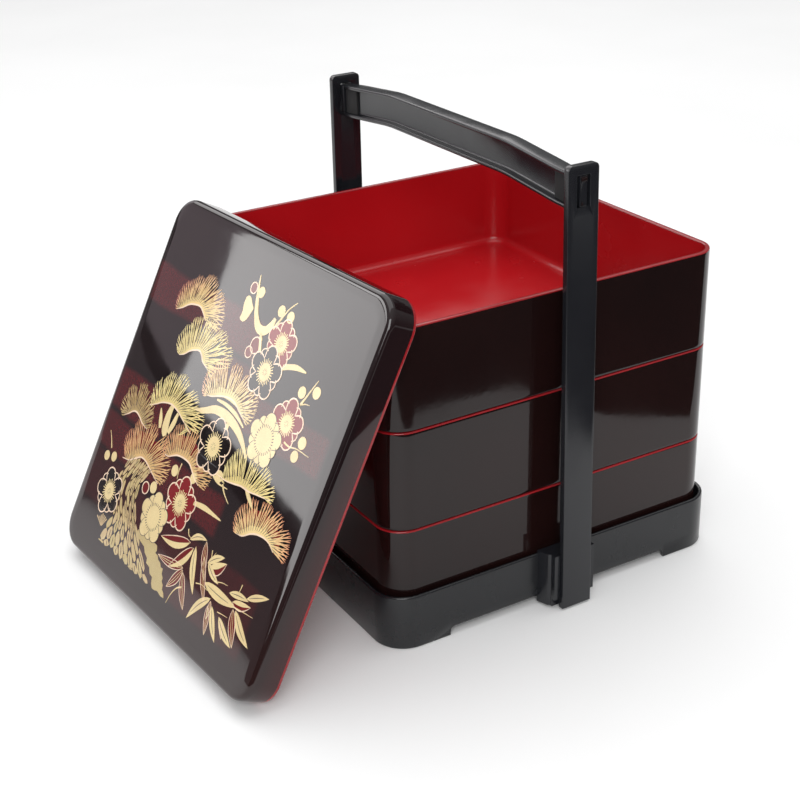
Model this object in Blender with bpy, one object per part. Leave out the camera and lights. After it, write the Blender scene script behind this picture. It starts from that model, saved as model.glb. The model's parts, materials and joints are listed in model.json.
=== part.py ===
"""Three stacked lacquered lunch boxes on a footed tray with a carry handle, and their lid leaning
against the stack. Metres, +Z up. The origin is on the ground under the middle of the whole set, and
-Y is the front, where one of the handle's two posts stands."""

import math

import bmesh
import bpy
from mathutils import Euler, Vector

MM = 0.001
GAP = 0.3 * MM                      # clearance between pieces that rest on each other
MARGIN = 1 * MM                     # how far a cutter runs past the face it cuts through

# Boxes
BOX_WIDTH = 200 * MM                # outer side of the square boxes
BOX_PITCH = 53 * MM                 # height that each box adds to the stack
BOX_WALL = 2.6 * MM
BOX_FLOOR = 2.2 * MM
BOX_CORNER = 15 * MM                # outer radius of the upright edges
BOX_NAMES = ("tier_bottom", "tier_middle", "tier_top")

# Tray
TRAY_WIDTH = 207.2 * MM
TRAY_HEIGHT = 29.7 * MM
TRAY_WALL = 2.3 * MM
TRAY_CORNER = 17 * MM
TRAY_FLOOR_TOP = 11.7 * MM
TRAY_FLOOR = 2.4 * MM
FOOT_HEIGHT = 4.6 * MM              # clear height of the arches between the feet
FOOT_INNER_X = 69 * MM              # each corner foot starts here
ARCH_CORNER = 2.5 * MM
ARCH_CUTTER = 12 * MM               # length of the cutter through the tray's wall
SOCKET_BASE_HALF = 15.6 * MM        # half width of a post socket at the tray wall
SOCKET_LIP_HALF = 12.4 * MM         # half width at its outer face
SOCKET_FACE_Y = 114 * MM
SOCKET_TOP = 31.8 * MM
SOCKET_BOTTOM = 1.6 * MM
SOCKET_LIP_BOTTOM = 6 * MM

# Posts
POST_WIDTH = 17.6 * MM
POST_THICK = 3.7 * MM
POST_FOOT_Y = 116.7 * MM            # outer face at the ground
POST_BOTTOM = 1 * MM
POST_TOP = 235 * MM
POST_LEAN = math.radians(0.87)      # the handle draws the posts' tops together
POST_CORNER = 2.6 * MM
SLOT_HALF = 3.8 * MM
SLOT_CUTTER_HALF = 20 * MM
SLOT_BOTTOM = 214.4 * MM
SLOT_TOP = 230 * MM
FLARE_HALF = 5.6 * MM
FLARE_BOTTOM = 209.2 * MM
FLARE_DEPTH = 0.9 * MM

# Handle bar
BAR_WIDTH = 9 * MM
BAR_HALF_LENGTH = 100 * MM          # to the ends of its flanges
BAR_BEND_Y = 55 * MM                # the bar is level between its two bends
BAR_BEND_BLEND = 5 * MM             # half length of each rounded bend
BAR_TOP = (234.7 * MM, 230.5 * MM)  # height of the level middle and of the ends
BAR_BOTTOM = (216.9 * MM, 212.6 * MM)
BAR_FLANGE = 2 * MM
BAR_WEB = 2 * MM
BAR_END_WALL = 1.6 * MM
NECK_HALF = 3.9 * MM
NECK_Z = (213.9 * MM, 229.6 * MM)
TENON_HALF = SLOT_HALF - GAP
TENON_Z = (SLOT_BOTTOM + GAP, SLOT_TOP - GAP)
TENON_RECESS = 1 * MM               # how far the tenon stays behind the post's outer face

# Lid
LID_WIDTH = 203.8 * MM
LID_RIM = 13.4 * MM                 # height of its upright wall
LID_WALL = 2.2 * MM
LID_HOLLOW = 12.3 * MM
LID_CORNER = 15 * MM
LID_SHOULDER = ((1.6 * MM, 1.5 * MM), (7.4 * MM, 1.5 * MM))    # inset and rise of each step
LID_CROWN = 0.9 * MM                # rise of the middle of its top above the shoulder
LID_LEAN = math.radians(62.5)
LID_YAW = math.radians(4.2)
LID_FOOT = (-182.65 * MM, -10.55 * MM)   # middle of its lower rim, from the middle of the stack

CORNER_SEGMENTS = 7
ARC_STEPS = 5

parts = bpy.data.collections.new("tiered_lunch_box_set")
cutters = bpy.data.collections.new("cutters")


def clear_scene():
    for obj in list(bpy.data.objects):
        bpy.data.objects.remove(obj, do_unlink=True)
    for collection in (parts, cutters):
        bpy.context.scene.collection.children.link(collection)


def lacquer(name, colour, roughness, coat):
    material = bpy.data.materials.new(name)
    material.use_nodes = True
    shader = material.node_tree.nodes["Principled BSDF"]
    shader.inputs["Base Color"].default_value = (*colour, 1)
    shader.inputs["Roughness"].default_value = roughness
    shader.inputs["Metallic"].default_value = 0
    shader.inputs["Coat Weight"].default_value = coat
    return material


def add_object(name, mesh, collection=parts):
    obj = bpy.data.objects.new(name, mesh)
    collection.objects.link(obj)
    if collection is cutters:
        obj.hide_render = True
        obj.display_type = "WIRE"
    return obj


def from_bmesh(name, bm, collection=parts):
    bmesh.ops.recalc_face_normals(bm, faces=bm.faces)
    if bm.calc_volume(signed=True) < 0:
        bmesh.ops.reverse_faces(bm, faces=bm.faces)
    mesh = bpy.data.meshes.new(name)
    bm.to_mesh(mesh)
    bm.free()
    return add_object(name, mesh, collection)


def face_at(bm, side):
    """The widest face that looks up (side 1) or down (side -1) at the mesh's end."""
    return max(bm.faces, key=lambda f: (round(side * f.calc_center_median().z, 7), f.calc_area()))


def rounded_block(width, height, radius):
    """A square block with round upright edges, standing on z = 0."""
    bm = bmesh.new()
    bmesh.ops.create_cube(bm, size=1)
    bmesh.ops.scale(bm, vec=(width, width, height), verts=bm.verts)
    bmesh.ops.translate(bm, vec=(0, 0, height / 2), verts=bm.verts)
    upright = [e for e in bm.edges if abs(e.verts[0].co.z - e.verts[1].co.z) > height / 2]
    bmesh.ops.bevel(bm, geom=upright, offset=radius, segments=CORNER_SEGMENTS, profile=0.5,
                    affect="EDGES")
    return bm


def hollow(bm, side, wall, depth):
    """Sinks the block's top (side 1) or underside (side -1), leaving a wall round it."""
    face = face_at(bm, side)
    bmesh.ops.inset_region(bm, faces=[face], thickness=wall, use_even_offset=True)
    made = bmesh.ops.extrude_face_region(bm, geom=[face])["geom"]
    bmesh.ops.delete(bm, geom=[face], context="FACES")
    sunk = [v for v in made if isinstance(v, bmesh.types.BMVert)]
    bmesh.ops.translate(bm, vec=(0, 0, -side * depth), verts=sunk)


def outline_solid(name, points, thickness, collection=parts):
    """A flat outline, drawn in its own XY plane and extruded to both sides of it."""
    curve = bpy.data.curves.new(name, "CURVE")
    curve.dimensions = "2D"
    curve.fill_mode = "BOTH"
    curve.extrude = thickness / 2
    spline = curve.splines.new("POLY")
    spline.points.add(len(points) - 1)
    for point, (x, y) in zip(spline.points, points):
        point.co = (x, y, 0, 1)
    spline.use_cyclic_u = True
    drawn = bpy.data.objects.new(name, curve)
    bpy.context.scene.collection.objects.link(drawn)
    graph = bpy.context.evaluated_depsgraph_get()
    mesh = bpy.data.meshes.new_from_object(drawn.evaluated_get(graph))
    bpy.data.objects.remove(drawn)
    bm = bmesh.new()
    bm.from_mesh(mesh)
    bmesh.ops.remove_doubles(bm, verts=bm.verts, dist=0.01 * MM)
    bmesh.ops.recalc_face_normals(bm, faces=bm.faces)
    bm.to_mesh(mesh)
    bm.free()
    return add_object(name, mesh, collection)


def box(name, low, high, collection=cutters):
    bm = bmesh.new()
    bmesh.ops.create_cube(bm, size=1)
    size = [b - a for a, b in zip(low, high)]
    bmesh.ops.scale(bm, vec=size, verts=bm.verts)
    bmesh.ops.translate(bm, vec=[(a + b) / 2 for a, b in zip(low, high)], verts=bm.verts)
    return from_bmesh(name, bm, collection)


def boolean(target, other, operation):
    modifier = target.modifiers.new(operation.lower(), "BOOLEAN")
    modifier.operation = operation
    modifier.object = other
    modifier.solver = "EXACT"


def arc(centre, radius, start, end, steps=ARC_STEPS):
    angles = (start + (end - start) * i / steps for i in range(steps + 1))
    return [(centre[0] + radius * math.cos(a), centre[1] + radius * math.sin(a)) for a in angles]


def make_tier(name, level):
    bm = rounded_block(BOX_WIDTH, BOX_PITCH - GAP, BOX_CORNER)
    hollow(bm, 1, BOX_WALL, BOX_PITCH - GAP - BOX_FLOOR)
    tier = from_bmesh(name, bm)
    tier.location.z = TRAY_FLOOR_TOP + GAP + level * BOX_PITCH
    return tier


def arch_outline():
    """The opening under one half of the tray's front wall, in X and Z, with round upper corners."""
    left = SOCKET_LIP_HALF + MARGIN
    centre = (FOOT_INNER_X - ARCH_CORNER, FOOT_HEIGHT - ARCH_CORNER)
    corner = arc(centre, ARCH_CORNER, 0, math.pi / 2)
    return [(left, -MARGIN), (FOOT_INNER_X, -MARGIN)] + corner + [(left, FOOT_HEIGHT)]


def upright(obj):
    """Turns an outline drawn in XY so that it stands in X and Z."""
    obj.rotation_euler = (math.pi / 2, 0, 0)
    return obj


def make_tray():
    bm = rounded_block(TRAY_WIDTH, TRAY_HEIGHT, TRAY_CORNER)
    hollow(bm, 1, TRAY_WALL, TRAY_HEIGHT - TRAY_FLOOR_TOP)
    hollow(bm, -1, TRAY_WALL, TRAY_FLOOR_TOP - TRAY_FLOOR)
    tray = from_bmesh("base_tray", bm)
    wall_inside = TRAY_WIDTH / 2 - TRAY_WALL / 2
    plan = [(-SOCKET_BASE_HALF, wall_inside), (SOCKET_BASE_HALF, wall_inside),
            (SOCKET_BASE_HALF, TRAY_WIDTH / 2), (SOCKET_LIP_HALF, SOCKET_FACE_Y),
            (-SOCKET_LIP_HALF, SOCKET_FACE_Y), (-SOCKET_BASE_HALF, TRAY_WIDTH / 2)]
    for word, side in (("front", -1), ("back", 1)):
        for hand in (-1, 1):
            name = f"arch_{word}_{hand + 1}"
            arch = upright(outline_solid(name, arch_outline(), ARCH_CUTTER, cutters))
            arch.location.y = side * TRAY_WIDTH / 2
            arch.scale.x = hand
            boolean(tray, arch, "DIFFERENCE")
        socket = outline_solid(f"socket_{word}", [(x, side * y) for x, y in plan],
                               SOCKET_TOP - SOCKET_BOTTOM, cutters)
        socket.location.z = (SOCKET_TOP + SOCKET_BOTTOM) / 2
        boolean(tray, socket, "UNION")
        groove_x = POST_WIDTH / 2 + GAP
        groove_y = POST_FOOT_Y - POST_THICK - 2 * GAP - math.tan(POST_LEAN) * SOCKET_TOP
        near, far = sorted((side * groove_y, side * (SOCKET_FACE_Y + MARGIN)))
        groove = box(f"groove_{word}", (-groove_x, near, 0), (groove_x, far, SOCKET_TOP + MARGIN))
        boolean(tray, groove, "DIFFERENCE")
        below = box(f"below_lips_{word}", (-SOCKET_BASE_HALF, near, 0),
                    (SOCKET_BASE_HALF, far, SOCKET_LIP_BOTTOM))
        boolean(tray, below, "DIFFERENCE")
    return tray


def post_outline():
    half, r = POST_WIDTH / 2, POST_CORNER
    return ([(-half, POST_BOTTOM), (half, POST_BOTTOM)]
            + arc((half - r, POST_TOP - r), r, 0, math.pi / 2)
            + arc((r - half, POST_TOP - r), r, math.pi / 2, math.pi))


def make_post(name, side):
    """A flat strip whose foot stays on the tray while its top leans in towards the other post."""
    post = upright(outline_solid(name, post_outline(), POST_THICK))
    post.location.y = side * (POST_FOOT_Y - POST_THICK / 2)
    post.rotation_euler.x += side * POST_LEAN
    slot = box(f"slot_{name}", (-SLOT_HALF, -SLOT_CUTTER_HALF, SLOT_BOTTOM),
               (SLOT_HALF, SLOT_CUTTER_HALF, SLOT_TOP))
    slot.location.y = side * POST_FOOT_Y
    boolean(post, slot, "DIFFERENCE")
    flare_outline = [(-FLARE_HALF, FLARE_BOTTOM), (FLARE_HALF, FLARE_BOTTOM),
                     (SLOT_HALF, SLOT_BOTTOM + GAP), (-SLOT_HALF, SLOT_BOTTOM + GAP)]
    flare = upright(outline_solid(f"flare_{name}", flare_outline, 2 * FLARE_DEPTH, cutters))
    flare.location.y = side * POST_FOOT_Y
    flare.rotation_euler.x += side * POST_LEAN
    boolean(post, flare, "DIFFERENCE")
    return post


def bar_line(y, heights):
    """Height of the bar's upper or lower line at y: level, then a soft bend and a straight end."""
    level, end = heights
    slope = (end - level) / (BAR_HALF_LENGTH - BAR_BEND_Y)
    past = max(abs(y) - (BAR_BEND_Y - BAR_BEND_BLEND), 0)
    if past < 2 * BAR_BEND_BLEND:
        return level + slope * past ** 2 / (4 * BAR_BEND_BLEND)
    return level + slope * (abs(y) - BAR_BEND_Y)


def bar_outline(shrink_end, shrink_edge):
    """The bar's side view in Y and Z, inset by these amounts."""
    bend = [BAR_BEND_Y + BAR_BEND_BLEND * step for step in (-1, -0.5, 0, 0.5, 1)]
    half = bend + [BAR_HALF_LENGTH - shrink_end]
    stations = [-y for y in reversed(half)] + half
    lower = [(y, bar_line(y, BAR_BOTTOM) + shrink_edge) for y in stations]
    upper = [(y, bar_line(y, BAR_TOP) - shrink_edge) for y in reversed(stations)]
    return lower + upper


def make_bar():
    """The carry bar: flanges above and below a thin web, with a neck and a tenon at each end."""
    side_view = (math.pi / 2, 0, math.pi / 2)
    bar = outline_solid("handle_bar", bar_outline(0, 0), BAR_WIDTH)
    bar.rotation_euler = side_view
    cutter_depth = (BAR_WIDTH - BAR_WEB) / 2 + MARGIN
    outer_face = POST_FOOT_Y - math.tan(POST_LEAN) * NECK_Z[1]
    inner_face = outer_face - POST_THICK
    root = BAR_HALF_LENGTH - BAR_END_WALL / 2
    for side in (-1, 1):
        pocket = outline_solid(f"bar_pocket_{side + 1}", bar_outline(BAR_END_WALL, BAR_FLANGE),
                               cutter_depth, cutters)
        pocket.rotation_euler = side_view
        pocket.location.x = side * (BAR_WEB + cutter_depth) / 2
        boolean(bar, pocket, "DIFFERENCE")
        for word, half, z_range, reach in (
                ("neck", NECK_HALF, NECK_Z, inner_face - GAP),
                ("tenon", TENON_HALF, TENON_Z, outer_face - TENON_RECESS)):
            near, far = sorted((side * root, side * reach))
            block = box(f"{word}_{side + 1}", (-half, near, z_range[0]), (half, far, z_range[1]))
            boolean(bar, block, "UNION")
    return bar


def make_lid():
    """The lid is drawn lying on its rim and then stood on one edge, leaning on the top box."""
    bm = rounded_block(LID_WIDTH, LID_RIM, LID_CORNER)
    for inset, rise in LID_SHOULDER:
        bmesh.ops.inset_region(bm, faces=[face_at(bm, 1)], thickness=inset, depth=rise,
                               use_even_offset=True)
    bmesh.ops.poke(bm, faces=[face_at(bm, 1)], offset=LID_CROWN)
    hollow(bm, -1, LID_WALL, LID_HOLLOW)
    bmesh.ops.translate(bm, vec=(0, LID_WIDTH / 2, 0), verts=bm.verts)
    lid = from_bmesh("lid", bm)
    lid.rotation_euler = Euler((LID_LEAN, 0, LID_YAW - math.pi / 2))
    lid.location = (*LID_FOOT, 0)
    return lid


def centre_set(pieces):
    """Moves everything sideways so that the origin lies under the middle of the whole set."""
    bpy.context.view_layer.update()
    reach = [(piece.matrix_world @ Vector(corner)).x for piece in pieces for corner in piece.bound_box]
    lid = next(piece for piece in pieces if piece.name == "lid")
    left = min((lid.matrix_world @ vertex.co).x for vertex in lid.data.vertices)
    shift = -(left + max(reach)) / 2
    for obj in list(parts.objects) + list(cutters.objects):
        obj.location.x += shift


def main():
    clear_scene()
    shell = lacquer("black_red_lacquer", (0.016, 0.006, 0.007), 0.08, 1)
    lid_shell = lacquer("lid_lacquer", (0.03, 0.008, 0.01), 0.07, 1)
    plastic = lacquer("black_plastic", (0.02, 0.02, 0.022), 0.28, 0.2)
    tiers = [make_tier(name, level) for level, name in enumerate(BOX_NAMES)]
    frame = [make_tray(), make_post("post_front", -1), make_post("post_back", 1), make_bar()]
    lid = make_lid()
    finishes = [(tiers, shell), (frame, plastic), ([lid], lid_shell)]
    for pieces, material in finishes:
        for piece in pieces:
            own = material.copy()
            own.name = f"{material.name}_{piece.name}"
            piece.data.materials.append(own)
            piece.data.shade_smooth()
            piece.data.set_sharp_from_angle(angle=math.radians(30))
    centre_set(tiers + frame + [lid])


main()
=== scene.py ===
"""The looks of the tiered lunch box set: lacquered boxes and lid, moulded tray and handle, and the gold pine,
plum and bamboo ornament of the lid. Lengths are written in millimetres and turned into metres as the meshes
are made."""

import json
import math
import random

import bmesh
import bpy
from mathutils import Matrix, Vector, geometry

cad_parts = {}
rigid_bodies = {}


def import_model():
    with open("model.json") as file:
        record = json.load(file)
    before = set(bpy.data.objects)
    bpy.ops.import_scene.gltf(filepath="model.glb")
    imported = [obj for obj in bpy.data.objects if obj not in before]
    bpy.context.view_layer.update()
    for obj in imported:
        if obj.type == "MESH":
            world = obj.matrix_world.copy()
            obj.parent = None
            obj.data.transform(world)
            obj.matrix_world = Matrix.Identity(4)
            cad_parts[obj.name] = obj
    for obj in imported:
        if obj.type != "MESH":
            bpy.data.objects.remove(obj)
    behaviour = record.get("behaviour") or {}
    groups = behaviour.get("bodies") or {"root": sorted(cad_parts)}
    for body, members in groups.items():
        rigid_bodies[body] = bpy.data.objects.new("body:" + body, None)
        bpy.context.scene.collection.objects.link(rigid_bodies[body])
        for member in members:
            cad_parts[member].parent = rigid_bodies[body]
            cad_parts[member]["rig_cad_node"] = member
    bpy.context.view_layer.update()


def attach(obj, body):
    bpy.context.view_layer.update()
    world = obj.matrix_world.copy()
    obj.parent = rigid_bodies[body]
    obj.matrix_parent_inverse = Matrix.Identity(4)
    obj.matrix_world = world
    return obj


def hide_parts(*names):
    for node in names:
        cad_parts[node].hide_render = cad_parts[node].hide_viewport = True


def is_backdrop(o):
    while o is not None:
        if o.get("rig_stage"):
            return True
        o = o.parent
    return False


MM = 0.001
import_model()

# Sizes of the solids, as in the part's source or worked out there
STACK_X = 48.959                    # middle of the stack, from the middle of the whole set
GAP = 0.3
BOX_HALF = 100.0
BOX_PITCH = 53.0
BOX_WALL = 2.6
BOX_FLOOR = 2.2
BOX_CORNER = 15.0
TRAY_HALF = 103.6
TRAY_HEIGHT = 29.7
TRAY_WALL = 2.3
TRAY_CORNER = 17.0
TRAY_FLOOR_TOP = 11.7
TRAY_FLOOR = 2.4
FOOT_HEIGHT = 4.6
FOOT_INNER_X = 69.0
ARCH_CORNER = 2.5
SOCKET_BASE_HALF = 15.6
SOCKET_LIP_HALF = 12.4
SOCKET_FACE_Y = 114.0
SOCKET_TOP = 31.8
SOCKET_BOTTOM = 1.6
SOCKET_LIP_BOTTOM = 6.0
POST_WIDTH = 17.6
POST_THICK = 3.7
POST_FOOT_Y = 116.7
POST_BOTTOM = 1.0
POST_TOP = 235.0
POST_LEAN = math.radians(0.87)
POST_CORNER = 2.6
SLOT_HALF = 3.8
SLOT_BOTTOM = 214.4
SLOT_TOP = 230.0
FLARE_HALF = 5.6
FLARE_BOTTOM = 209.2
FLARE_DEPTH = 0.9
BAR_HALF_LENGTH = 100.0
BAR_BEND_Y = 55.0
BAR_BEND_BLEND = 5.0
BAR_TOP = (234.7, 230.5)
BAR_BOTTOM = (216.9, 212.6)
NECK_Z = (213.9, 229.6)
LID_HALF = 101.9
LID_CORNER = 15.0
LID_WALL = 2.2
LID_HOLLOW = 12.3
LID_CROWN = 0.9
LID_LEAN = math.radians(62.5)
LID_YAW = math.radians(4.2)
LID_FOOT = (-182.65, -10.55)

# Sizes that only the looks have
BOX_FILLET = 4.5                    # between a box's wall and its floor, inside
SOCKET_EDGE = 0.45                  # rounding of its edges
POST_EDGE = 0.4
SLOT_CORNER = 0.6
TENON_LEFT = -1.5                   # the tenon fills the right of the slot and leaves a dark gap at its left
TENON_RIGHT = 3.0
TENON_PLAY = 0.05                   # gap between the backing tenon and the slot's sides
BAR_REACH = 109.0                   # where its flanges meet the posts
BAR_TAPER_Y = 95.0                  # where its flanges begin to narrow
BAR_TAPER_SHARE = 0.62
WEB_HALF = 1.0
NECK_HALF = 2.2                     # the neck is slimmer here than its solid
NECK_START = 93.5
LID_PANEL = 16.4                    # height of the panel's edge above the rim
LID_PANEL_INSET = 6.6
LID_WALL_TOP = 13.0                 # where the tint of the lid's side walls ends
LID_WALL_FADE = 1.6
MIST_SOFT = 1.3                     # half of the soft edge above and below a band of mist
MIST_END = 2.0                      # and at its ends
ORNAMENT_RISE = 1.0                 # how far above the lower rim the ornament's heights begin
INLAY_HALF = 0.05                   # how far an inlay is sunk in the lid, and rises above it
NEEDLE_PITCH = 1.12                 # from one pine needle's tip to the next
NEEDLE_WIDTHS = (0.34, 0.42, 0.5, 0.54, 0.54, 0.46, 0.2)
NEEDLE_LEAN = 0.09                  # most that a needle bows to its side, as a share of its length
FAN_SHARE = 0.3                     # share of their overlap that each of two fans gives up
TEETH = 26                          # ticks round a blossom's middle
DASHES = 30                         # strokes round the middle of a gold blossom
LEAF_STEPS = 9
BARK_COLUMNS = 10
FLAKE_PITCH = 0.165                 # length of a flake of bark, as a share of the trunk's
FLAKE_SHORTEST = 0.02
OPENING_EDGE = 0.8                  # bare ground round an opening in the trunk
FLOOR_HALF = 9000.0
FLOOR_DROP = 0.0002                 # in metres, so that the feet don't share the floor's plane
CAMERA_ANGLES = (-30.35, 25.19, 1.61)           # azimuth, elevation and roll in degrees
CAMERA_PLACE = (-0.4094, -0.64066, 0.4308)      # metres from the middle of the stack
CAMERA_SENSOR = 36.0                            # its width and the focal length, in millimetres of film
CAMERA_LENS = 67.608


# Mesh making

def linked(name, data):
    obj = bpy.data.objects.new(name, data)
    bpy.context.scene.collection.objects.link(obj)
    return obj


def new_object(name, vertices, faces, materials, face_material=None, smooth=True):
    """A mesh object in set coordinates, from millimetres."""
    mesh = bpy.data.meshes.new(name)
    mesh.from_pydata([tuple(c * MM for c in v) for v in vertices], [], faces)
    mesh.validate()
    for material in materials:
        mesh.materials.append(material)
    if face_material:
        mesh.polygons.foreach_set("material_index", face_material)
    if smooth:
        mesh.shade_smooth()
    return linked(name, mesh)


def recalculate(obj, weld=0.0):
    """Faces turned outwards, after points nearer than the weld are joined."""
    bm = bmesh.new()
    bm.from_mesh(obj.data)
    if weld:
        bmesh.ops.remove_doubles(bm, verts=bm.verts, dist=weld * MM)
    bmesh.ops.recalc_face_normals(bm, faces=bm.faces)
    if bm.calc_volume(signed=True) < 0:
        bmesh.ops.reverse_faces(bm, faces=bm.faces)
    bm.to_mesh(obj.data)
    bm.free()
    return obj


def polar(centre, radius, degrees):
    angle = math.radians(degrees)
    return centre[0] + radius * math.cos(angle), centre[1] + radius * math.sin(angle)


def arc(centre, radius, start, end, steps):
    return [polar(centre, radius, start + (end - start) * i / steps) for i in range(steps + 1)]


def ring_stations(half, radius, corner_steps=14, side_points=()):
    """Points round a rounded square, counterclockwise: (centre x, centre y, normal x, normal y). Adding the
    normal times (radius - inset) gives the outline at any inset below the radius."""
    inner = half - radius
    stations = []
    for quarter in range(4):
        turn = quarter * math.pi / 2
        cos, sin = round(math.cos(turn)), round(math.sin(turn))
        for y in side_points:
            stations.append((inner * cos - y * sin, inner * sin + y * cos, cos, sin))
        for step in range(corner_steps + 1):
            angle = turn + step / corner_steps * math.pi / 2
            cx, cy = inner * cos - inner * sin, inner * sin + inner * cos
            stations.append((cx, cy, math.cos(angle), math.sin(angle)))
    return stations


def rings_of(stations, radius, profile):
    """An outline of points at each inset and height of the profile. A height may depend on the place."""
    rings = []
    for inset, height in profile:
        points = []
        for cx, cy, nx, ny in stations:
            x, y = cx + nx * (radius - inset), cy + ny * (radius - inset)
            points.append((x, y, height(x, ny) if callable(height) else height))
        rings.append(points)
    return rings


def skin(rings):
    """Vertices and faces of rings joined by quads, with the first and last ring filled."""
    count, last = len(rings[0]), len(rings) - 1
    vertices = [p for one in rings for p in one]
    faces, band = [], []
    for level in range(last):
        a, b = level * count, (level + 1) * count
        for i in range(count):
            j = (i + 1) % count
            faces.append((a + i, a + j, b + j, b + i))
            band.append(level)
    faces += [tuple(reversed(range(count))), tuple(range(last * count, (last + 1) * count))]
    band += [0, last - 1]
    return vertices, faces, band


def shifted(vertices, rise=0.0):
    """From the stack's own middle to set coordinates."""
    return [(x + STACK_X, y, z + rise) for x, y, z in vertices]


def evaluated_mesh(obj):
    graph = bpy.context.evaluated_depsgraph_get()
    return bpy.data.meshes.new_from_object(obj.evaluated_get(graph))


def apply_modifiers(obj):
    mesh, old = evaluated_mesh(obj), obj.data
    obj.modifiers.clear()
    obj.data = mesh
    bpy.data.meshes.remove(old)
    return obj


def bevelled(obj, width, segments=3):
    bevel = obj.modifiers.new("bevel", "BEVEL")
    bevel.width = width * MM
    bevel.segments = segments
    bevel.limit_method = "ANGLE"
    bevel.angle_limit = math.radians(30)
    bevel.harden_normals = True
    obj.data.shade_smooth()
    return apply_modifiers(obj)


def prism(name, outline, low, high, material):
    """An upright block over an outline in X and Y."""
    vertices, faces, _ = skin([[(x, y, z) for x, y in outline] for z in (low, high)])
    return recalculate(new_object(name, vertices, faces, [material]))


def block(name, low, high, material):
    outline = [(low[0], low[1]), (high[0], low[1]), (high[0], high[1]), (low[0], high[1])]
    return prism(name, outline, low[2], high[2], material)


def carve(target, cutter):
    modifier = target.modifiers.new("carve", "BOOLEAN")
    modifier.operation = "DIFFERENCE"
    modifier.solver = "EXACT"
    modifier.object = cutter
    apply_modifiers(target)
    bpy.data.objects.remove(cutter)


def joined(name, objects):
    """One object from several, whose faces keep their materials."""
    bm = bmesh.new()
    materials = []
    for obj in objects:
        own = list(obj.data.materials)
        materials += [material for material in own if material not in materials]
        before = len(bm.faces)
        bm.from_mesh(obj.data)
        bm.faces.ensure_lookup_table()
        for face in bm.faces[before:]:
            face.material_index = materials.index(own[face.material_index])
        bpy.data.objects.remove(obj)
    mesh = bpy.data.meshes.new(name)
    bm.to_mesh(mesh)
    bm.free()
    for material in materials:
        mesh.materials.append(material)
    return linked(name, mesh)


# Materials

class Nodes:
    """Short calls for building a material's node tree."""

    def __init__(self, name):
        self.material = bpy.data.materials.new(name)
        self.material.use_nodes = True
        self.tree = self.material.node_tree
        self.shader = self.tree.nodes["Principled BSDF"]
        self.place = self.add("ShaderNodeTexCoord").outputs["Object"]

    def add(self, kind, settings=(), inputs=()):
        node = self.tree.nodes.new(kind)
        for key, value in dict(settings).items():
            setattr(node, key, value)
        for key, value in dict(inputs).items():
            self.set(node.inputs[key], value)
        return node

    def set(self, socket, value):
        if isinstance(value, bpy.types.NodeSocket):
            self.tree.links.new(value, socket)
        else:
            socket.default_value = value

    def noise(self, scale, detail):
        inputs = {"Scale": scale, "Detail": detail, "Vector": self.place}
        return self.add("ShaderNodeTexNoise", {}, inputs).outputs["Fac"]

    def patches(self, scale, detail, low=0.3, high=0.7, to_low=0.0, to_high=1.0):
        """Noise stretched from the first pair of values to the second."""
        return self.span(self.noise(scale, detail), low, high, to_low, to_high)

    def attribute(self, name):
        return self.add("ShaderNodeAttribute", {"attribute_name": name}).outputs["Fac"]

    def span(self, value, low, high, to_low=0.0, to_high=1.0, smooth=False):
        kind = "SMOOTHSTEP" if smooth else "LINEAR"
        names = {"Value": value, "From Min": low, "From Max": high, "To Min": to_low, "To Max": to_high}
        return self.add("ShaderNodeMapRange", {"interpolation_type": kind}, names).outputs["Result"]

    def maths(self, operation, *values):
        node = self.add("ShaderNodeMath", {"operation": operation})
        for socket, value in zip(node.inputs, values):
            self.set(socket, value)
        return node.outputs[0]

    def product(self, *values):
        result = values[0]
        for value in values[1:]:
            result = self.maths("MULTIPLY", result, value)
        return result

    def mix(self, factor, a, b):
        node = self.add("ShaderNodeMix", {"data_type": "RGBA"})
        for socket, value in ((0, factor), (6, a), (7, b)):
            self.set(node.inputs[socket], value)
        return node.outputs[2]

    def bump(self, height, strength, distance):
        inputs = {"Height": height, "Strength": strength, "Distance": distance}
        return self.add("ShaderNodeBump", {}, inputs).outputs["Normal"]

    def finish(self, colour, roughness, normal=None, coat=0.0, coat_roughness=0.04, metallic=0.0):
        for name, value in (("Base Color", colour), ("Roughness", roughness), ("Metallic", metallic),
                            ("Coat Weight", coat), ("Coat Roughness", coat_roughness)):
            self.set(self.shader.inputs[name], value)
        if normal is not None:
            self.set(self.shader.inputs["Normal"], normal)
        return self.material


def rgb(red, green, blue):
    """A colour seen as these screen values, as the linear colour a shader takes."""
    linear = [((v / 255 + 0.055) / 1.055) ** 2.4 if v > 10 else v / 255 / 12.92 for v in (red, green, blue)]
    return (*linear, 1.0)


def lacquer(name, colour, shade, low_rough, high_rough, peel, index=1.5):
    """Glossy lacquer: a faint orange peel, uneven polish and a slight drift of tone."""
    n = Nodes(name)
    tinted = n.mix(n.patches(9, 3), colour, shade)
    polish = n.patches(38, 4, 0.35, 0.7, low_rough, high_rough)
    height = n.maths("ADD", n.noise(260, 1), n.product(n.noise(28, 1), 4.0))
    n.shader.inputs["IOR"].default_value = index
    return n.finish(tinted, polish, n.bump(height, peel, 0.00012))


def moulded(name, colour, shade, low_rough, high_rough, grain):
    """Injection moulded plastic: fine grain, flow tone and rubbed patches."""
    n = Nodes(name)
    tinted = n.mix(n.patches(14, 3), colour, shade)
    rubbed = n.patches(60, 5, 0.3, 0.75, low_rough, high_rough)
    height = n.maths("ADD", n.noise(1400, 2), n.product(n.noise(45, 1), 3.0))
    return n.finish(tinted, rubbed, n.bump(height, grain, 0.00008))


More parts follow.
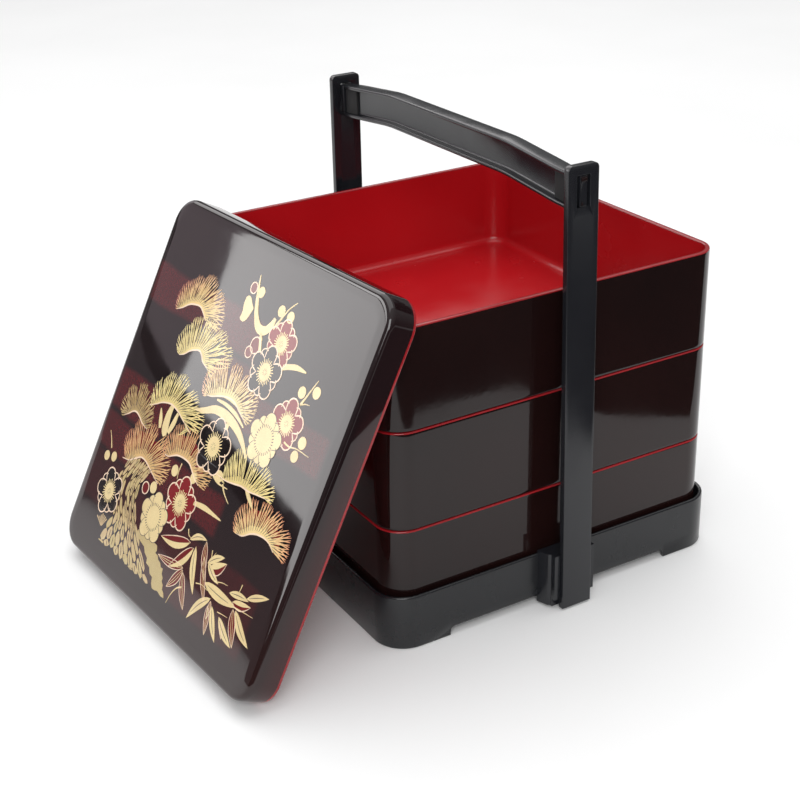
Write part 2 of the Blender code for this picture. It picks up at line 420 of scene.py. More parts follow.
BLACK_LACQUER = lacquer("black_lacquer", rgb(22, 11, 11), rgb(31, 15, 14), 0.05, 0.10, 0.08, 1.43)
RED_LACQUER = lacquer("red_lacquer", rgb(168, 18, 25), rgb(180, 22, 29), 0.18, 0.28, 0.08, 1.42)
# The rims take a darker copy of the inside's red lacquer: painted shade on the rims
RIM_RED_PAINTED_SHADE = lacquer("rim_red_painted_shade", rgb(140, 22, 28), rgb(156, 30, 36), 0.10, 0.18, 0.06)
FRAME_BLACK = moulded("frame_black", rgb(24, 25, 29), rgb(30, 31, 35), 0.15, 0.27, 0.12)
# The bar's necks beside the posts: the frame's plastic made darker as painted shade, and rougher
NECK_PAINTED_SHADE = moulded("neck_painted_shade", rgb(12, 12, 14), rgb(15, 15, 17), 0.8, 0.9, 0.2)
TRAY_BLACK = moulded("tray_black", rgb(20, 21, 24), rgb(26, 27, 30), 0.20, 0.32, 0.14)


# Boxes

def make_box(name, level, node):
    top = BOX_PITCH - GAP
    outside = [(6.0, 0.0), (1.5, 0.0), (0.7, 0.08), (0.2, 0.35), (0.0, 0.9), (0.0, 2.0),
               (0.0, top - 2.0), (0.0, top - 0.7)]
    rim = [(0.06, top - 0.4), (0.25, top - 0.12), (0.6, top), (1.9, top), (2.3, top - 0.12),
           (2.52, top - 0.4), (BOX_WALL, top - 0.9), (2.65, top - 2.5)]
    inside = [(2.95, BOX_FLOOR + BOX_FILLET + 1.0)]
    inside += arc((3.0 + BOX_FILLET, BOX_FLOOR + BOX_FILLET), BOX_FILLET, 180, 270, 6)
    inside += [(8.4, BOX_FLOOR)]
    stations = ring_stations(BOX_HALF, BOX_CORNER, 14, (-40.0, 0.0, 40.0))
    vertices, faces, band = skin(rings_of(stations, BOX_CORNER, outside + rim + inside))
    first_red = len(outside) - 1
    rim_end = first_red + len(rim) - 1
    slots = [0 if b < first_red else (1 if b < rim_end else 2) for b in band]
    vertices = shifted(vertices, TRAY_FLOOR_TOP + GAP + level * BOX_PITCH)
    box = recalculate(new_object(name, vertices, faces, [BLACK_LACQUER, RIM_RED_PAINTED_SHADE, RED_LACQUER], slots))
    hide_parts(node)


# Tray

def arch_height(x, ny):
    """Height of the wall's lower edge: zero on the feet, raised between them at the front and back."""
    if abs(ny) < 0.99 or abs(x) > FOOT_INNER_X + 0.02:
        return 0.0
    past = abs(x) - (FOOT_INNER_X - ARCH_CORNER)
    if past <= 0:
        return FOOT_HEIGHT
    return FOOT_HEIGHT - ARCH_CORNER + math.sqrt(max(ARCH_CORNER ** 2 - past ** 2, 0.0))


def above_arch(rise):
    return lambda x, ny: arch_height(x, ny) + rise


def make_tray():
    arch = [FOOT_INNER_X + 0.04]
    arch += [FOOT_INNER_X - ARCH_CORNER * (1 - math.cos(math.radians(a))) for a in (0, 18, 36, 54, 72, 90)]
    side = sorted([-x for x in arch] + [-40.0, 0.0, 40.0] + arch)
    stations = ring_stations(TRAY_HALF, TRAY_CORNER, 16, side)
    under = TRAY_FLOOR_TOP - TRAY_FLOOR
    profile = [(8.0, under), (3.4, under), (2.6, under - 0.25), (TRAY_WALL, under - 0.9)]
    profile += [(inset, above_arch(rise)) for inset, rise in
                ((TRAY_WALL, 0.5), (2.1, 0.12), (1.7, 0.0), (0.7, 0.0), (0.2, 0.15), (0.0, 0.7))]
    profile += [(0.0, 9.0)]
    profile += [(inset, TRAY_HEIGHT - drop) for inset, drop in
                ((0.0, 1.2), (0.12, 0.5), (0.5, 0.08), (1.0, 0), (1.5, 0.05), (2.0, 0.35), (TRAY_WALL, 1.0))]
    profile += [(inset, TRAY_FLOOR_TOP + rise) for inset, rise in
                ((TRAY_WALL, 2.0), (2.6, 0.8), (3.4, 0.15), (4.6, 0), (9.0, 0))]
    vertices, faces, _ = skin(rings_of(stations, TRAY_CORNER, profile))
    tray = recalculate(new_object("tray", shifted(vertices), faces, [TRAY_BLACK]))
    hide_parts("base_tray")


def make_socket(word, side):
    """The boss that a post stands in: a tapered block with a groove between two lips."""
    groove_half = POST_WIDTH / 2 + GAP
    groove_y = POST_FOOT_Y - POST_THICK - 2 * GAP - math.tan(POST_LEAN) * SOCKET_TOP
    root = TRAY_HALF - 0.6
    plan = [(SOCKET_BASE_HALF, root), (SOCKET_BASE_HALF, TRAY_HALF),
            (SOCKET_LIP_HALF + 1.2, SOCKET_FACE_Y - 4.2), (SOCKET_LIP_HALF, SOCKET_FACE_Y - 3.2),
            (SOCKET_LIP_HALF, SOCKET_FACE_Y), (groove_half, SOCKET_FACE_Y), (groove_half, groove_y)]
    plan += [(-x, y) for x, y in reversed(plan)]
    plan = [(x + STACK_X, side * y) for x, y in plan]
    socket = prism(f"socket_{word}", plan, SOCKET_BOTTOM, SOCKET_TOP, FRAME_BLACK)
    near, far = sorted((side * groove_y, side * (SOCKET_FACE_Y + 1.0)))
    wide = SOCKET_BASE_HALF + 4.4
    low, high = (STACK_X - wide, near, 0.0), (STACK_X + wide, far, SOCKET_LIP_BOTTOM)
    carve(socket, block("below", low, high, FRAME_BLACK))
    bevelled(socket, SOCKET_EDGE)


# Posts and bar

def upright_sheet(name, outline, hole, thickness, round_edge):
    """A flat sheet with rounded edges, drawn in X and height, standing in the plane y = 0."""
    curve = bpy.data.curves.new(name, "CURVE")
    curve.dimensions = "2D"
    curve.fill_mode = "BOTH"
    curve.extrude = (thickness / 2 - round_edge) * MM
    curve.bevel_depth = round_edge * MM
    curve.bevel_resolution = 3
    curve.offset = -round_edge * MM
    for points in (outline, hole):
        spline = curve.splines.new("POLY")
        spline.points.add(len(points) - 1)
        for point, (x, z) in zip(spline.points, points):
            point.co = (x * MM, z * MM, 0, 1)
        spline.use_cyclic_u = True
    drawn = linked(name, curve)
    drawn.rotation_euler = (math.pi / 2, 0, 0)
    bpy.context.view_layer.update()
    mesh = evaluated_mesh(drawn)
    mesh.transform(drawn.matrix_world)
    bpy.data.objects.remove(drawn)
    return recalculate(linked(name, mesh), 0.004)


def rounded(half, low, high, radius, steps, quarters):
    """Rounded corners of an upright rectangle, each named by the angle where it begins."""
    points = []
    for start in quarters:
        x = half - radius if start in (270, 0) else radius - half
        z = low + radius if start in (270, 180) else high - radius
        points += arc((x, z), radius, start, start + 90, steps)
    return points


def make_post(name, side, node):
    """A flat post with rounded top corners, a slot near its top and a ramp cut below the slot outside."""
    half = POST_WIDTH / 2
    outline = [(-half, POST_BOTTOM), (half, POST_BOTTOM)]
    outline += rounded(half, POST_BOTTOM, POST_TOP, POST_CORNER, 8, (0, 90))
    slot = rounded(SLOT_HALF, SLOT_BOTTOM, SLOT_TOP, SLOT_CORNER, 3, (270, 0, 90, 180))
    post = upright_sheet(name, outline, slot, POST_THICK, POST_EDGE)
    ramp = [(-FLARE_HALF, FLARE_BOTTOM), (FLARE_HALF, FLARE_BOTTOM), (SLOT_HALF, SLOT_BOTTOM + GAP),
            (-SLOT_HALF, SLOT_BOTTOM + GAP)]
    face = side * POST_THICK / 2
    deep = face - side * FLARE_DEPTH
    low = [(x, face + side * 0.05 if z < SLOT_BOTTOM else deep - side * 0.5, z) for x, z in ramp]
    high = [(x, face + side * 1.5, z) for x, z in ramp]
    vertices, faces, _ = skin([low, high])
    carve(post, recalculate(new_object("ramp", vertices, faces, [])))
    post.data.materials.append(FRAME_BLACK)
    place = Matrix.Translation((STACK_X * MM, side * (POST_FOOT_Y - POST_THICK / 2) * MM, 0))
    post.data.transform(place @ Matrix.Rotation(side * POST_LEAN, 4, "X"))
    post.data.shade_smooth()
    post.data.set_sharp_from_angle(angle=math.radians(32))
    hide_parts(node)


def bar_line(y, heights):
    """Height at this place along a line that is level in the middle and bends down towards both ends."""
    level, end = heights
    slope = (end - level) / (BAR_HALF_LENGTH - BAR_BEND_Y)
    past = max(abs(y) - (BAR_BEND_Y - BAR_BEND_BLEND), 0)
    if past < 2 * BAR_BEND_BLEND:
        return level + slope * past ** 2 / (4 * BAR_BEND_BLEND)
    return level + slope * (abs(y) - BAR_BEND_Y)


def bar_section(top, bottom):
    """Half of the I-shaped section on +X, from the top to the bottom."""
    flange = [(0.0, 0.0), (3.7, 0.0), (4.2, 0.12), (4.45, 0.42), (4.5, 0.8), (4.5, 1.35), (4.4, 1.75),
              (4.1, 1.98), (3.7, 2.05), (2.1, 2.1), (1.5, 2.25), (1.12, 2.65), (WEB_HALF, 3.2)]
    upper = [(x, top - d) for x, d in flange]
    lower = [(x, bottom + d) for x, d in reversed(flange)]
    return upper + lower


def flange_share(y):
    """Share of the flanges' full width at this place along the bar."""
    past = max(abs(y) - BAR_TAPER_Y, 0.0) / (BAR_REACH - BAR_TAPER_Y)
    return 1.0 - (1.0 - BAR_TAPER_SHARE) * past ** 1.4


def make_bar():
    """The beam, and at each end its neck, a backing tenon, the tenon and two small marks on its face."""
    bend = [BAR_BEND_Y + BAR_BEND_BLEND * k for k in (-1, -0.5, 0, 0.5, 1)]
    half = [20.0] + bend + [75.0, BAR_TAPER_Y, 98.5, 102.0, 105.5, BAR_REACH]
    rings = []
    for y in [-v for v in reversed(half)] + half:
        share = flange_share(y)
        section = [(x if x <= WEB_HALF else WEB_HALF + (x - WEB_HALF) * share, z)
                   for x, z in bar_section(bar_line(y, BAR_TOP), bar_line(y, BAR_BOTTOM))]
        right = [(x, y, z) for x, z in section]
        left = [(-x, y, z) for x, z in reversed(section) if x > 0]
        rings.append(right + left)
    vertices, faces, _ = skin(rings)
    beam = recalculate(new_object("beam", shifted(vertices), faces, [FRAME_BLACK]))
    beam.data.set_sharp_from_angle(angle=math.radians(50))
    outer_face = POST_FOOT_Y - math.tan(POST_LEAN) * NECK_Z[1]
    pieces = [beam]
    slot_z = (SLOT_BOTTOM + GAP, SLOT_TOP - GAP)
    fill = SLOT_HALF - TENON_PLAY
    mark_y = (outer_face - 1.2, outer_face - 0.3)
    for side in (-1, 1):
        for low_x, high_x, (low_z, high_z), (start, reach), edge, steps, material in (
                (-NECK_HALF, NECK_HALF, NECK_Z, (NECK_START, BAR_REACH), 0.6, 4, NECK_PAINTED_SHADE),
                (-fill, fill, slot_z, (106.0, outer_face - 2.6), 0.2, 4, FRAME_BLACK),
                (TENON_LEFT, TENON_RIGHT, slot_z, (105.0, outer_face - 0.9), 0.5, 4, FRAME_BLACK),
                (TENON_LEFT + 0.6, TENON_RIGHT - 0.5, (SLOT_TOP - 3.2, SLOT_TOP - 1.0), mark_y, 0.35, 3,
                 BLACK_LACQUER),
                (TENON_LEFT + 0.9, TENON_LEFT + 1.7, (SLOT_BOTTOM + 0.7, SLOT_BOTTOM + 2.6), mark_y, 0.25, 3,
                 BLACK_LACQUER)):
            near, far = sorted((side * start, side * reach))
            piece = block("end", (STACK_X + low_x, near, low_z), (STACK_X + high_x, far, high_z), material)
            pieces.append(bevelled(piece, edge, steps))
    bar = joined("carry_bar", pieces)
    bar.data.shade_smooth()
    bar.data.set_sharp_from_angle(angle=math.radians(40))
    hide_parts("handle_bar")


# Lid

LID_TURN = Matrix.Rotation(LID_YAW - math.pi / 2, 4, "Z") @ Matrix.Rotation(LID_LEAN, 4, "X")
LID_PLACE = Matrix.Translation((LID_FOOT[0] + STACK_X, LID_FOOT[1], 0)) @ LID_TURN


def lid_point(across, up, out):
    """Set coordinates of a point of the lid: across its width, up its height from the lower rim, and out."""
    return tuple(LID_PLACE @ Vector((across, up, out)))


def panel_height(across, up):
    """Height of the lid's gently crowned top above the plane of its rim."""
    half = LID_HALF - LID_PANEL_INSET
    a, b = across / half, (up - LID_HALF) / half
    return LID_PANEL + LID_CROWN * max(1 - a * a, 0) * max(1 - b * b, 0)


def on_panel(across, up, depth):
    """Set coordinates of a point of the ornament, whose heights count from just above the lower rim."""
    up += ORNAMENT_RISE
    return lid_point(across, up, panel_height(across, up) + depth)


def make_lid():
    side = [-72.0, -48.0, -24.0, 0.0, 24.0, 48.0, 72.0]
    stations = ring_stations(LID_HALF, LID_CORNER, 16, side)
    inside = [(8.4, LID_HOLLOW), (5.2, LID_HOLLOW), (3.6, LID_HOLLOW - 0.5), (2.6, LID_HOLLOW - 1.6),
              (LID_WALL, LID_HOLLOW - 3.2), (LID_WALL, 1.0)]
    rim = [(2.1, 0.4), (1.75, 0.05), (1.4, 0.0), (0.7, 0.0), (0.3, 0.08), (0.06, 0.35), (0.0, 0.8),
           (0.0, 1.7)]
    wall = [(0.0, 1.75), (0.0, 12.6), (0.05, 13.3), (0.22, 14.05), (0.5, 14.7), (0.9, 15.24), (1.4, 15.66),
            (2.0, 15.92), (2.7, 16.06), (3.6, 16.17), (4.8, 16.275), (6.2, 16.37)]
    panel_edge = [(6.4, 16.385), (LID_PANEL_INSET, LID_PANEL)]
    profile = inside + rim + wall + panel_edge
    rings = rings_of(stations, LID_CORNER, profile)
    edge = rings[-1]
    for step in (0.985, 0.96, 0.9, 0.8, 0.7, 0.6, 0.5, 0.4, 0.3, 0.2, 0.1, 0.03):
        rings.append([(x * step, y * step, panel_height(x * step, y * step + LID_HALF)) for x, y, _ in edge])
    vertices, faces, band = skin(rings)
    red_end, rim_end = len(inside) - 1, len(inside) + len(rim) - 1
    slots = [1 if b < red_end else (2 if b < rim_end else 0) for b in band]
    placed = [lid_point(x, y + LID_HALF, z) for x, y, z in vertices]
    obj = new_object("lid_shell", placed, faces, [lid_material(), RED_LACQUER, RIM_RED_PAINTED_SHADE], slots)
    layer = obj.data.uv_layers.new(name="panel")
    for loop in obj.data.loops:
        x, y, _ = vertices[loop.vertex_index]
        layer.data[loop.index].uv = ((x + LID_HALF) / (2 * LID_HALF), (y + LID_HALF) / (2 * LID_HALF))
    wall_share = obj.data.attributes.new("wall", "FLOAT", "POINT")
    shares = [max(0.0, min(1.0, (LID_WALL_TOP - z) / LID_WALL_FADE)) for _, _, z in vertices]
    wall_share.data.foreach_set("value", shares)
    recalculate(obj)
    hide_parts("lid")


# Mist bands of the lid: from across, to across, from height, to height, strength
MIST = (
    (-98, 14, 144, 164, 0.95),
    (-12, 34, 124, 141, 0.8),
    (12, 92, 111, 131, 0.7),
    (-98, -40, 80, 103, 0.9),
    (-98, 34, 58, 77, 0.85),
    (-42, 84, 15, 51, 0.4),
    (-98, -42, 30, 56, 0.3),
)


def lid_material():
    """Near black lacquer with bands of maroon mist, warmer near the lower edge and on the side walls."""
    n = Nodes("lid_lacquer_mist")
    uv = n.add("ShaderNodeUVMap", {"uv_map": "panel"}).outputs["UV"]
    split = n.add("ShaderNodeSeparateXYZ", {}, {"Vector": uv})
    across = n.maths("MULTIPLY_ADD", split.outputs["X"], 2 * LID_HALF, -LID_HALF)
    up = n.maths("MULTIPLY_ADD", split.outputs["Y"], 2 * LID_HALF, -ORNAMENT_RISE)
    up = n.maths("ADD", up, n.patches(22, 2, to_low=-1.2, to_high=1.2))
    mist = 0.0
    for left, right, low, high, strength in MIST:
        tall = n.product(n.span(up, low - MIST_SOFT, low + MIST_SOFT),
                         n.span(up, high + MIST_SOFT, high - MIST_SOFT))
        wide = n.product(n.span(across, left - MIST_END, left + MIST_END),
                         n.span(across, right + MIST_END, right - MIST_END))
        mist = n.maths("MAXIMUM", mist, n.product(tall, wide, strength))
    mist = n.product(mist, n.patches(900, 2, 0.35, 0.65, 0.55, 1.0), n.patches(16, 3, 0.3, 0.75, 0.7, 1.0))
    black = n.mix(n.patches(12, 3), rgb(20, 12, 14), rgb(30, 17, 19))
    black = n.mix(n.product(n.span(up, 90, 10, smooth=True), 0.5), black, rgb(46, 22, 20))
    colour = n.mix(mist, black, rgb(98, 25, 29))
    side = n.product(n.span(n.attribute("wall"), 0.2, 1.0), n.span(up, 160, 128, 0.0, 0.75))
    colour = n.mix(side, colour, rgb(62, 20, 22))
    height = n.maths("ADD", n.noise(160, 1), n.product(n.noise(30, 1), 6.0))
    return n.finish(colour, n.patches(42, 4, 0.35, 0.7, 0.025, 0.055), n.bump(height, 0.025, 0.00012))


# Ornament of the lid: thin closed inlays that lie on its surface

def inlay_material(name, colour, tip, grain=0.25):
    """Powdered metal under clear lacquer. The tip attribute carries each stroke's change of tone."""
    n = Nodes(name)
    powder = n.patches(2600, 2)
    toned = n.mix(n.attribute("tip"), colour, tip)
    shade = n.mix(n.product(powder, grain), toned, rgb(120, 84, 44))
    worn = n.product(n.patches(70, 3, 0.45, 0.8), 0.22)
    shade = n.mix(worn, shade, rgb(150, 110, 66))
    rough = n.patches(120, 2, 0.3, 0.7, 0.34, 0.5)
    return n.finish(shade, rough, n.bump(powder, 0.2, 0.00005), coat=0.9, coat_roughness=0.07, metallic=0.25)


def beside(behind, point, ahead, half):
    """The points at this distance to the left and right of one on a line, from its neighbours."""
    dx, dy = ahead[0] - behind[0], ahead[1] - behind[1]
    length = math.hypot(dx, dy) or 1.0
    x, y = point
    return (x - dy / length * half, y + dx / length * half), (x + dy / length * half, y - dx / length * half)


class Inlay:
    """Collects shapes of one material as thin closed solids, sunk in the lid and risen by their level."""

    def __init__(self, name, material, level=0.0):
        self.name, self.material = name, material
        self.top = INLAY_HALF + level
        self.vertices, self.faces, self.tips = [], [], []

    def lay(self, points, tips=None):
        """The points at the inlay's top and again at its base. Gives the number of the first one."""
        base = len(self.vertices)
        for depth in (self.top, -INLAY_HALF):
            self.vertices += [on_panel(across, up, depth) for across, up in points]
        self.tips += list(tips or [0.0] * len(points)) * 2
        return base

    def add(self, top_points, top_faces, border, tips=None):
        """Top faces over a border loop of point numbers, with walls and a base beneath."""
        base, count = self.lay(top_points, tips), len(top_points)
        for face in top_faces:
            self.faces.append(tuple(base + i for i in face))
            self.faces.append(tuple(base + count + i for i in reversed(face)))
        for i, j in zip(border, border[1:] + border[:1]):
            self.faces.append((base + i, base + count + i, base + count + j, base + j))

    def stroke(self, points, widths, tips=None):
        """A ribbon along points, with a width at each."""
        count, sides = len(points), []
        for i, point in enumerate(points):
            sides += beside(points[max(i - 1, 0)], point, points[min(i + 1, count - 1)], widths[i] / 2)
        faces = [(2 * i, 2 * i + 1, 2 * i + 3, 2 * i + 2) for i in range(count - 1)]
        border = [2 * i for i in range(count)] + [2 * i + 1 for i in reversed(range(count))]
        self.add(sides, faces, border, None if tips is None else [t for t in tips for _ in (0, 1)])

    def fill(self, outline, tips=None):
        """A flat shape inside an outline."""
        flat = [Vector((x, y, 0)) for x, y in outline]
        triangles = geometry.tessellate_polygon([flat])
        self.add(outline, [tuple(t) for t in triangles], list(range(len(outline))), tips)

    def closed_line(self, outline, width):
        """A line of even width round an outline."""
        count = len(outline)
        ahead = outline[1:] + outline[:1]
        pairs = [beside(outline[i - 1], outline[i], ahead[i], width / 2) for i in range(count)]
        base = self.lay([pair[0] for pair in pairs] + [pair[1] for pair in pairs])
        a, b, c, d = (base + k * count for k in range(4))
        for i in range(count):
            j = (i + 1) % count
            self.faces += [(a + i, b + i, b + j, a + j), (c + i, c + j, d + j, d + i),
                           (a + i, a + j, c + j, c + i), (b + i, d + i, d + j, b + j)]

    def make(self):
        obj = new_object(self.name, self.vertices, self.faces, [self.material], smooth=False)
        tone = obj.data.attributes.new("tip", "FLOAT", "POINT")
        tone.data.foreach_set("value", self.tips)
        recalculate(obj)


def curve_value(a, b, c, d, t):
    """A value at the share t of the way from b to c, on a smooth curve that also meets a and d."""
    slope, bend = c - a, 2 * a - 5 * b + 4 * c - d
    return 0.5 * (2 * b + slope * t + bend * t * t + (3 * b - a - 3 * c + d) * t ** 3)


def smooth_path(points, steps=5):
    """Points on a smooth curve through these ones."""
    made = []
    for i in range(len(points) - 1):
        four = points[max(i - 1, 0)], points[i], points[i + 1], points[min(i + 2, len(points) - 1)]
        for step in range(steps):
            made.append(tuple(curve_value(*values, step / steps) for values in zip(*four)))
    made.append(points[-1])
    return made


def circle(centre, radius, steps):
    return [polar(centre, radius, 360 * i / steps) for i in range(steps)]


GOLD = inlay_material("gold_powder", rgb(222, 200, 142), rgb(222, 200, 142))
BARK_GOLD = inlay_material("bark_gold", rgb(184, 164, 102), rgb(200, 172, 122), 0.4)
PALE = inlay_material("pale_line", rgb(232, 204, 176), rgb(232, 204, 176), 0.1)
BARK_DARK = inlay_material("bark_dark", rgb(44, 30, 22), rgb(44, 30, 22), 0.1)
PETAL_RED = lacquer("petal_red", rgb(126, 23, 28), rgb(140, 28, 33), 0.03, 0.07, 0.02)
LEAF_RED = lacquer("leaf_red", rgb(104, 18, 20), rgb(118, 24, 24), 0.03, 0.07, 0.02)
PETAL_BLACK = lacquer("petal_black", rgb(18, 11, 12), rgb(24, 14, 15), 0.03, 0.07, 0.04)

# Kinds of pine: the needles' colour, the tips' colour, how much of it they take, and the inlay's level
PINE_KINDS = {
    "rose": (rgb(224, 196, 120), rgb(176, 84, 72), 0.95, 0.01),
    # The pale kind's lighter, whitish tips are a painted sheen on the gold needles
    "pale": (rgb(222, 202, 124), rgb(232, 218, 160), 0.6, 0.02),
    "pink": (rgb(228, 206, 142), rgb(214, 138, 118), 0.8, 0.03),
    "olive": (rgb(176, 148, 84), rgb(190, 168, 108), 0.6, 0.01),
    "copper": (rgb(212, 172, 104), rgb(198, 118, 82), 0.9, 0.0),
    "fire": (rgb(236, 210, 142), rgb(206, 128, 88), 1.0, 0.02),
}

dice = random.Random(7)

# Pine clumps: kind, fans as (across, up, radius, from angle, to angle), and the line beneath as points
PINES = (
    ("rose", ((-57, 151.6, 14.0, 98, 206), (-51, 153, 16.0, 72, 152), (-45, 153.6, 18.2, 48, 122),
              (-37.5, 152, 16.2, 14, 92), (-33, 151.6, 12.2, -26, 62)),
     ((-67, 146.2), (-62, 148.4), (-57, 151.6), (-52, 153.2), (-46, 153.8), (-41, 151.5), (-37, 148.6))),
    ("pale", ((-41, 132.6, 14.6, 122, 206), (-36, 134.4, 16.4, 92, 158), (-30, 135.6, 16.0, 52, 122),
              (-21.5, 136, 14.6, 20, 96), (-14, 136, 12.6, -28, 58), (-20, 131.6, 9.6, -52, 30)),
     ((-49.5, 125.8), (-45, 127.6), (-40, 131.2), (-33, 133.6), (-29, 132.2), (-25.6, 129.4), (-17, 127.2))),
    ("pink", ((-7, 122.6, 12.8, 128, 222), (-3, 123.4, 15.0, 84, 156), (5, 123, 16.0, 54, 120),
              (13, 122.4, 15.6, 26, 98), (20, 123, 12.8, -42, 60)),
     ((-13, 116.2), (-8, 117), (-2, 119.2), (6, 121.4), (13, 121.2), (19, 118.6), (27, 115.6))),
    ("pale", ((-47, 100.4, 14.6, 128, 214), (-42, 101.6, 16.0, 88, 154), (-36, 101.6, 17.0, 54, 122),
              (-27, 101, 14.6, 22, 92), (-19.5, 100.6, 13.6, -32, 56), (-29, 98.6, 11.0, -64, 6)),
     ((-60, 93.4), (-54, 96.2), (-48, 99.2), (-40, 101), (-32, 100), (-24, 97.4), (-14, 94.2))),
    ("olive", ((-79.6, 86, 8.6, 122, 238), (-77, 87, 11.4, 84, 156), (-71, 87.6, 14.2, 52, 122),
               (-65, 87, 12.6, 12, 86), (-62, 86.4, 10.4, -28, 42)),
     ((-81, 80), (-77, 82.4), (-74, 84.6), (-70, 85.7), (-65, 84.4), (-61, 82.6), (-54.6, 81.4))),
    ("copper", ((-63.4, 70.2, 8.8, 92, 262), (-58, 71, 14.0, 82, 152), (-49, 71.6, 15.2, 52, 124),
                (-40, 70.6, 17.0, 16, 80), (-34.6, 69.4, 14.2, -38, 34)),
     ((-68, 60), (-61, 61.2), (-56, 64), (-50, 67), (-44, 66.6), (-38, 64.6), (-27, 61))),
    ("copper", ((-23.6, 82, 10.6, 128, 226), (-20, 83, 13.6, 84, 152), (-12, 84, 14.6, 52, 120),
                (-3, 83, 13.4, 18, 90), (4, 81, 12.8, -36, 48)),
     ((-29.6, 76.8), (-26, 77), (-22, 79), (-18, 80.6), (-12, 81.4), (-6, 81), (-2, 79), (3, 76),
      (8, 74.4))),
    ("pale", ((36.6, 91.4, 13.0, 132, 222), (39, 92, 14.6, 92, 156), (45, 92, 12.4, 54, 112),
              (52, 92, 13.2, 22, 88), (57, 91.2, 12.0, -10, 44)),
     ((20, 85.6), (28, 85.4), (36, 86.8), (42, 88), (48, 88), (56, 89.2), (67, 90.8))),
    ("fire", ((57.6, 74, 12.6, 132, 214), (60.4, 75, 13.4, 90, 154), (66.6, 76.6, 13.2, 54, 118),
              (73, 76.6, 13.2, 22, 94), (80.6, 76, 11.8, -2, 66), (83, 74.6, 10.4, -32, 22)),
     ((51, 67.2), (56, 68), (61, 71.2), (66, 73.2), (72, 74), (77, 73.4), (82, 71))),
)


def fan_tips(fans):
    """Ends of the needles along the clump's outer edge, from its left to its right."""
    tips = []
    for k, (across, up, radius, start, end) in enumerate(fans):
        if k > 0:
            end -= FAN_SHARE * (end - fans[k - 1][3])
        if k < len(fans) - 1:
            start += FAN_SHARE * (fans[k + 1][4] - start)
        count = round(math.radians(end - start) * radius / NEEDLE_PITCH)
        for i in range(count + 1):
            share = i / count
            scallop = 0.93 + 0.08 * math.sin(math.pi * share)
            reach = radius * (scallop + dice.uniform(-0.05, 0.04))
            tips.append(polar((across, up), reach, end + (start - end) * share))
    return tips


def pine(inlay, line, gaps, glow, fans, arch, tint):
    """Needles that sweep out from the line beneath the clump to its scalloped outer edge."""
    tips = fan_tips(fans)
    path = smooth_path(arch, 6)
    count = len(tips) - 1
    core = []
    for i, tip in enumerate(tips):
        share = i / count
        root = along_edge(path, 0.06 + 0.88 * share)
        middle = between_points(root, tip, 0.5)
        dx, dy = tip[0] - root[0], tip[1] - root[1]
        lean = NEEDLE_LEAN * (1 if i % 2 else -1) * dice.uniform(0.2, 1.0)
        needle = smooth_path([root, (middle[0] + dy * lean, middle[1] - dx * lean), tip], 3)
        tone = tint * (1.0 if tint == 1.0 else 1.15 - share)
        tones = [max(tone, 0.0) * (j / 6) ** 1.6 for j in range(7)]
        inlay.stroke(needle, NEEDLE_WIDTHS, tones)
        core.append(between_points(root, tip, 0.2 + 0.06 * (i % 2)))
        if i % 3 == 1:
            start, end = between_points(root, tip, 0.1), between_points(root, tip, dice.uniform(0.3, 0.5))
            gaps.stroke((start, between_points(start, end, 0.5), end), (0.16, 0.34, 0.12))
    inlay.fill(path[1:-1] + core[::-1])
    if glow:
        middle = arch[len(arch) // 2]
        glow.fill(path + [between_points(middle, tip, 0.7) for tip in tips[::-2]])
    count = len(path) - 1
    line.stroke(path, [0.3 + 0.6 * math.sin(math.pi * i / count) for i in range(count + 1)])


def petals(centre, radius, turn):
    """The outline of five round petals in front, and those of the five that show between them."""
    front, behind = [], []
    for k in range(5):
        angle = turn + 72 * k
        gap = angle + 36
        front += arc(polar(centre, 0.665 * radius, angle), 0.335 * radius, angle - 100, angle + 100, 12)
        front.append(polar(centre, 0.54 * radius, gap))
        small = arc(polar(centre, 0.635 * radius, gap), 0.25 * radius, gap - 66, gap + 66, 8)
        behind.append([polar(centre, 0.5 * radius, gap)] + small)
    return front, behind


def stamens(inlay, cuts, centre, radius):
    """A gold disc with a ring of separate ticks round it and a few dark ones near its middle."""
    inlay.fill(circle(centre, radius * 0.74, 26))
    for i in range(TEETH):
        angle = 360 * i / TEETH
        shares = (0.6, 0.85, 1.12 if i % 2 else 1.02)
        inlay.stroke([polar(centre, radius * share, angle) for share in shares], (0.8, 0.62, 0.5))
        if i % 3 == 0:
            cuts.stroke([polar(centre, radius * share, angle) for share in (0.12, 0.3)], (0.12, 0.22))


def dashes(inlay, centre, inner, outer):
    for i in range(DASHES):
        inlay.stroke([polar(centre, reach, 360 * i / DASHES) for reach in (inner, outer)], (0.35, 0.5))


# Blossoms: kind, across, up, radius, radius of the stamens, turn in degrees, layer
BLOSSOMS = (
    ("red", 32, 158.4, 12.4, 5.6, 92, 0),
    ("black", 27.6, 142.4, 13.6, 6.2, 88, 1),
    ("red", 57.8, 126.6, 12.8, 5.8, 90, 0),
    ("gold", 46, 113.8, 13.8, 6.2, 90, 1),
    ("black", 8.8, 96, 14.8, 7.0, 92, 0),
    ("red", -1.8, 60.6, 14.2, 6.4, 92, 0),
    ("gold", -20.4, 45, 13.6, 6.0, 94, 1),
    ("black", -69.5, 39.5, 13.0, 6.2, 113, 0),
)

# Buds: across, up, radius, kind
BUDS = (
    (23, 172.6, 3.0, "gold"), (31.6, 172, 3.0, "gold"), (60.6, 143.6, 3.0, "gold"), (71, 147, 3.0, "gold"),
    (74, 123, 3.1, "gold"), (72, 115.5, 2.9, "gold"), (-16, 73, 3.1, "gold"), (-84, 55, 2.8, "gold"),
    (-76.6, 57, 2.8, "gold"), (-29.5, 58, 3.2, "gold"), (12.6, 151.4, 4.2, "red"), (9, 146.8, 2.9, "red"),
    (-5.8, 176.2, 2.9, "red"), (1.6, 176, 2.9, "gold"), (-36.5, 55, 3.2, "red"), (2, 76, 2.9, "gold"),
    (22, 85, 3.2, "gold"),
)

